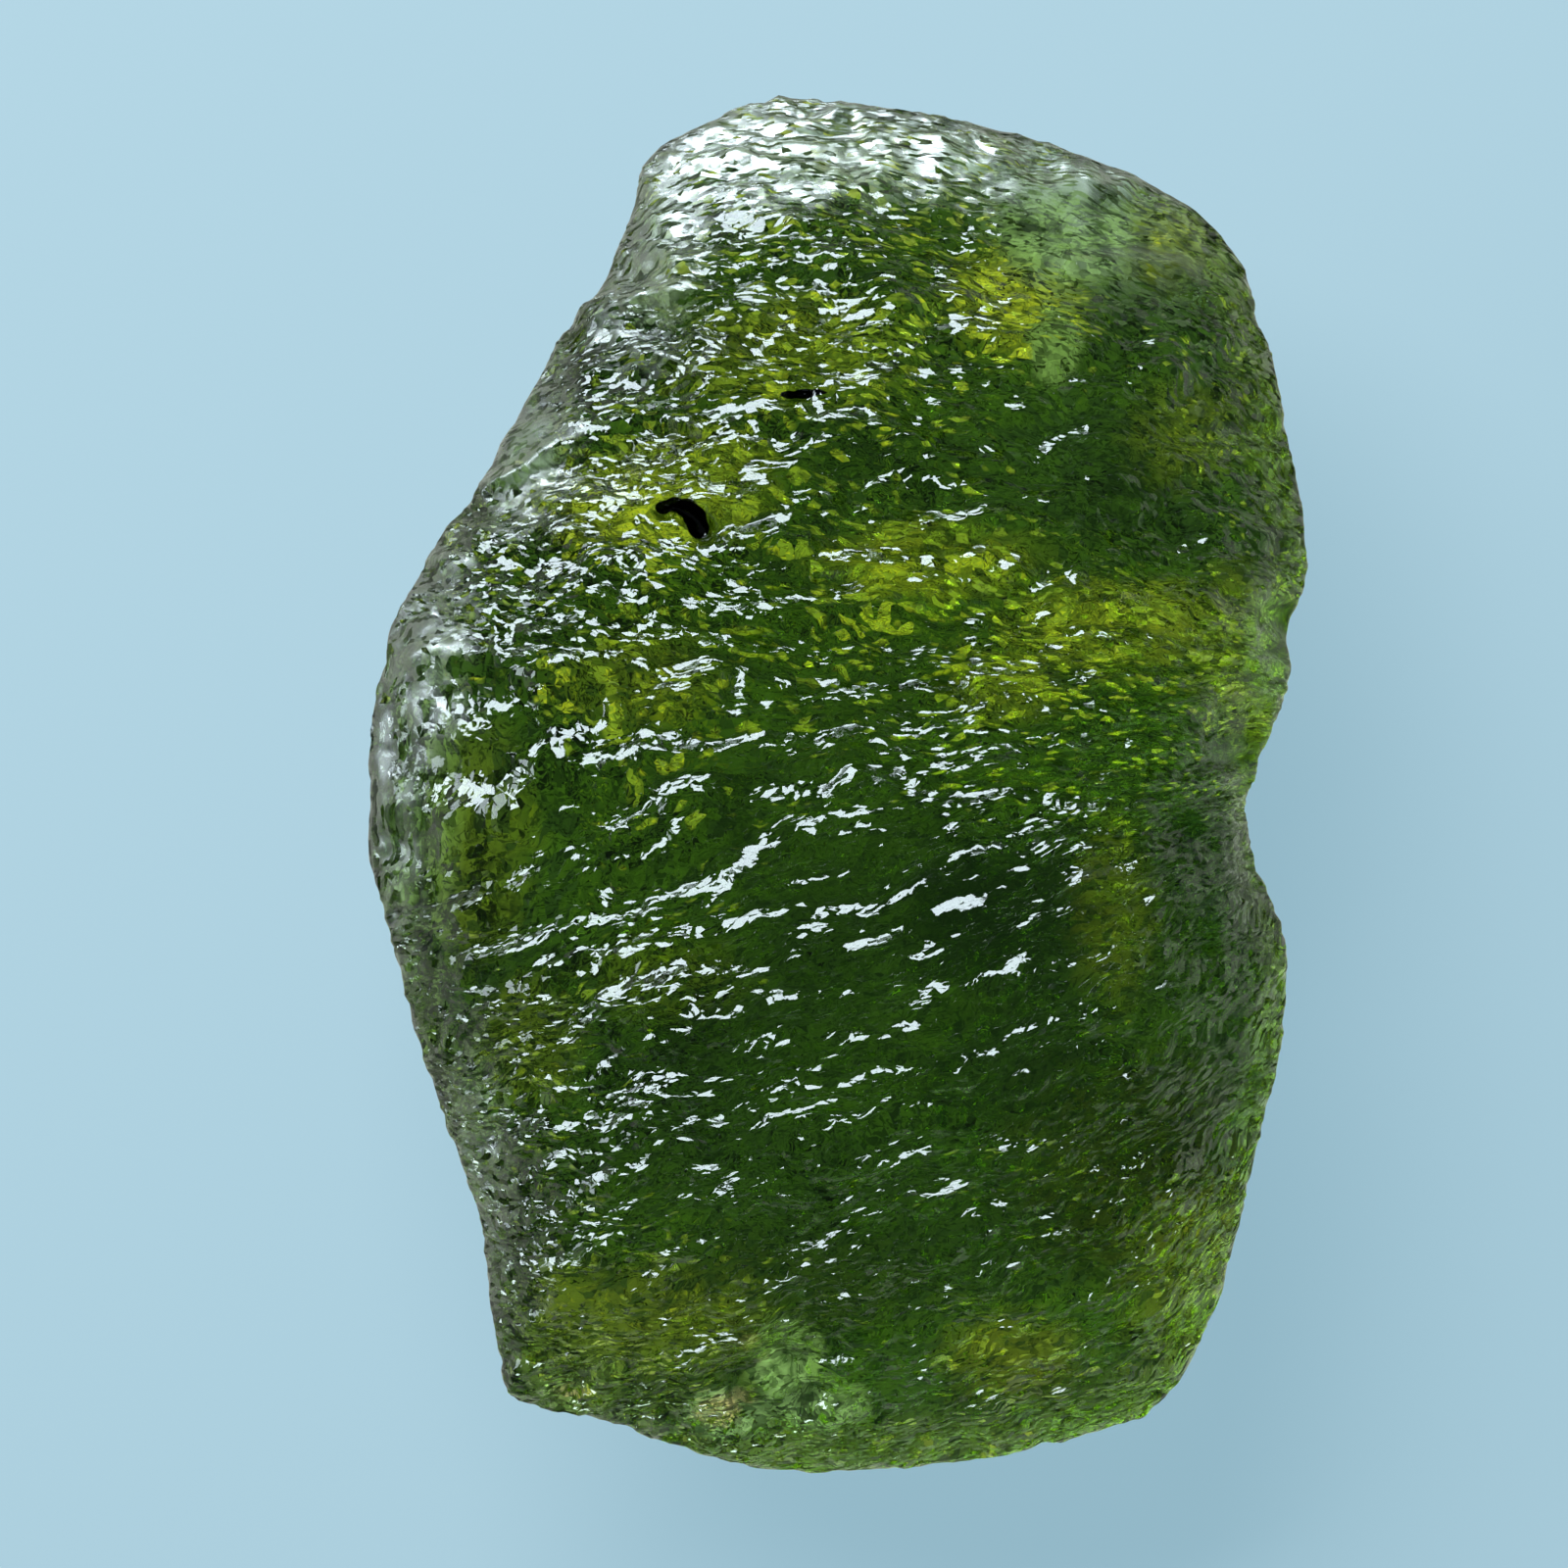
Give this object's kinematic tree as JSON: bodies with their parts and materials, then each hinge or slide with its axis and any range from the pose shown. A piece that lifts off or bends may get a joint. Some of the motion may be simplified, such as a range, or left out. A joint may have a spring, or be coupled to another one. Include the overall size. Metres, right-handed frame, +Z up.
{
  "type": "moldavite",
  "caption": "Flat lump of natural green glass with a ledged and pitted skin, lying on its back on a small worn flat spot.",
  "frame": {"origin": "middle of the stone's box on the plane that it rests on", "axes": "+Y along the length towards the narrow crown, +Z up out of the weathered face, +X to the right of that face"},
  "size_m": [0.0464, 0.0682, 0.0169],
  "materials": {
    "moldavite_glass": "glossy etched natural glass, see-through green, absorbing light with depth"
  },
  "bodies": {
    "root": {"moldavite": "moldavite_glass"}
  },
  "joints": []
}
